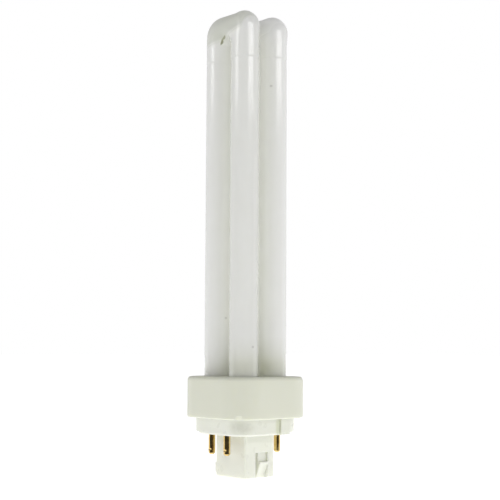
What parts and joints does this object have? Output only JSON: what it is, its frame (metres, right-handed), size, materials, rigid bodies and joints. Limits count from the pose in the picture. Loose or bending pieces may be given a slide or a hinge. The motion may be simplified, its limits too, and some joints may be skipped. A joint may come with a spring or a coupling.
{
  "type": "compact fluorescent lamp",
  "caption": "Plug-in compact fluorescent lamp: squared double U-tube of white coated glass on a rounded square plastic cap with a hollow post and brass contact pins.",
  "frame": {"origin": "centre of the flat end of the post, on which the lamp stands", "axes": "+Z along the lamp's axis from the post to the bends; X across the wider pin spacing and across the two U-tubes; Y along each U-tube"},
  "size_m": [0.0342, 0.0342, 0.1627],
  "materials": {
    "coated_glass": "smooth soda glass with an opaque white coat inside, cooler and greyer near the cap",
    "collar_plastic": "satin moulded plastic, creamy white",
    "cap_plastic": "smooth moulded plastic, white with a faint smudge at one corner",
    "pin_brass": "bright turned brass",
    "wire_metal": "nickel-plated wire",
    "basing_cement": "matt cast cement"
  },
  "bodies": {
    "root": {"discharge_tube": "coated_glass", "collar": "collar_plastic", "plug_cap": "cap_plastic", "contact_pin_1": "pin_brass", "contact_pin_2": "pin_brass", "contact_pin_3": "pin_brass", "contact_pin_4": "pin_brass", "lead_wire_1": "wire_metal", "lead_wire_2": "wire_metal", "lead_wire_3": "wire_metal", "lead_wire_4": "wire_metal", "cement": "basing_cement"}
  },
  "joints": []
}
